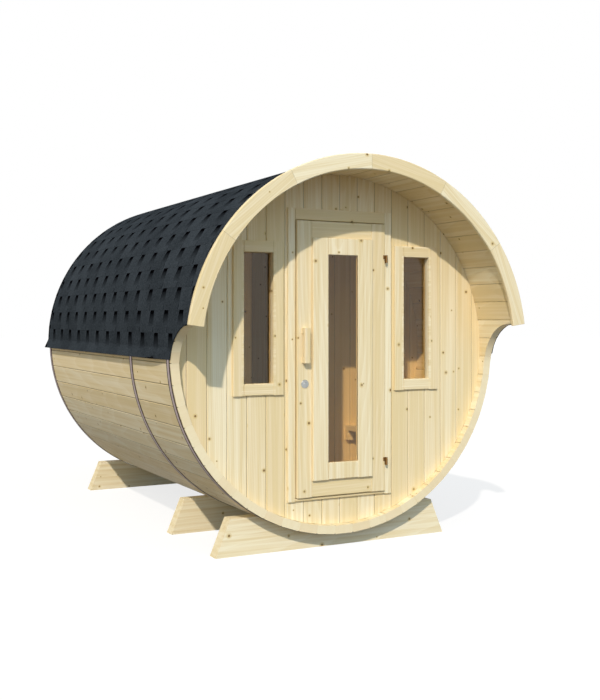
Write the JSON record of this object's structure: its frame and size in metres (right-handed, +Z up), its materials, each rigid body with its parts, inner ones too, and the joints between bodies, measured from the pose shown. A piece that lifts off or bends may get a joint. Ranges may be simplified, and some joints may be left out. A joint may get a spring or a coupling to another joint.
{
  "type": "barrel sauna",
  "caption": "Garden sauna in the form of a lying wooden barrel on cradles, with a hooded porch, shingle roof, glazed hinged door and side windows",
  "frame": {"origin": "on the ground, under the middle of the box round the whole building", "axes": "+X to the right seen from the front, +Y along the barrel's axis towards the rear, +Z up"},
  "size_m": [2.0708, 2.797, 2.104],
  "materials": {
    "spruce_stave": "planed, untreated",
    "spruce_board": "planed, untreated",
    "spruce_cradle": "planed, untreated",
    "spruce_trim": "planed, untreated",
    "steel_band": "satin",
    "bitumen_shingle": "mineral grit",
    "tinted_glass": "bronze tint",
    "hinge_metal": "satin",
    "rosette_metal": "satin"
  },
  "bodies": {
    "sauna": {"cradle_front": "spruce_cradle", "cradle_middle": "spruce_cradle", "cradle_rear": "spruce_cradle", "bottom_staves": "spruce_stave", "left_side_staves": "spruce_stave", "right_side_staves": "spruce_stave", "left_cut_staves": "spruce_stave", "right_cut_staves": "spruce_stave", "left_roof_staves": "spruce_stave", "right_roof_staves": "spruce_stave", "ridge_stave": "spruce_stave", "front_wall_left": "spruce_board", "front_wall_right": "spruce_board", "front_wall_over_door": "spruce_board", "front_wall_under_door": "spruce_board", "partition_left": "spruce_board", "partition_right": "spruce_board", "partition_over_doorway": "spruce_board", "partition_under_doorway": "spruce_board", "rear_wall": "spruce_board", "floor_bearers": "spruce_board", "floor_boards": "spruce_board", "bench_cleats": "spruce_board", "bench_seat": "spruce_board", "front_arch": "spruce_trim", "band_front": "steel_band", "band_middle_ring": "steel_band", "band_rear": "steel_band", "roof_left": "bitumen_shingle", "roof_right": "bitumen_shingle", "left_eave_lath": "spruce_trim", "right_eave_lath": "spruce_trim", "door_casing": "spruce_trim", "left_window_casing": "spruce_trim", "right_window_casing": "spruce_trim", "left_window_lining": "spruce_trim", "right_window_lining": "spruce_trim", "left_window_glass": "tinted_glass", "right_window_glass": "tinted_glass", "hinge_fixed_halves": "hinge_metal"},
    "door": {"door_frame": "spruce_trim", "door_panel": "spruce_trim", "door_glass": "tinted_glass", "door_handle": "spruce_trim", "door_rosette": "rosette_metal", "hinge_door_halves": "hinge_metal"}
  },
  "joints": [
    {"name": "door_hinge", "type": "hinge", "parent": "sauna", "child": "door", "pos_m": [0.281, -1.0958, 1.03], "axis": [0, 0, 1], "range_deg": [0, 110]}
  ]
}
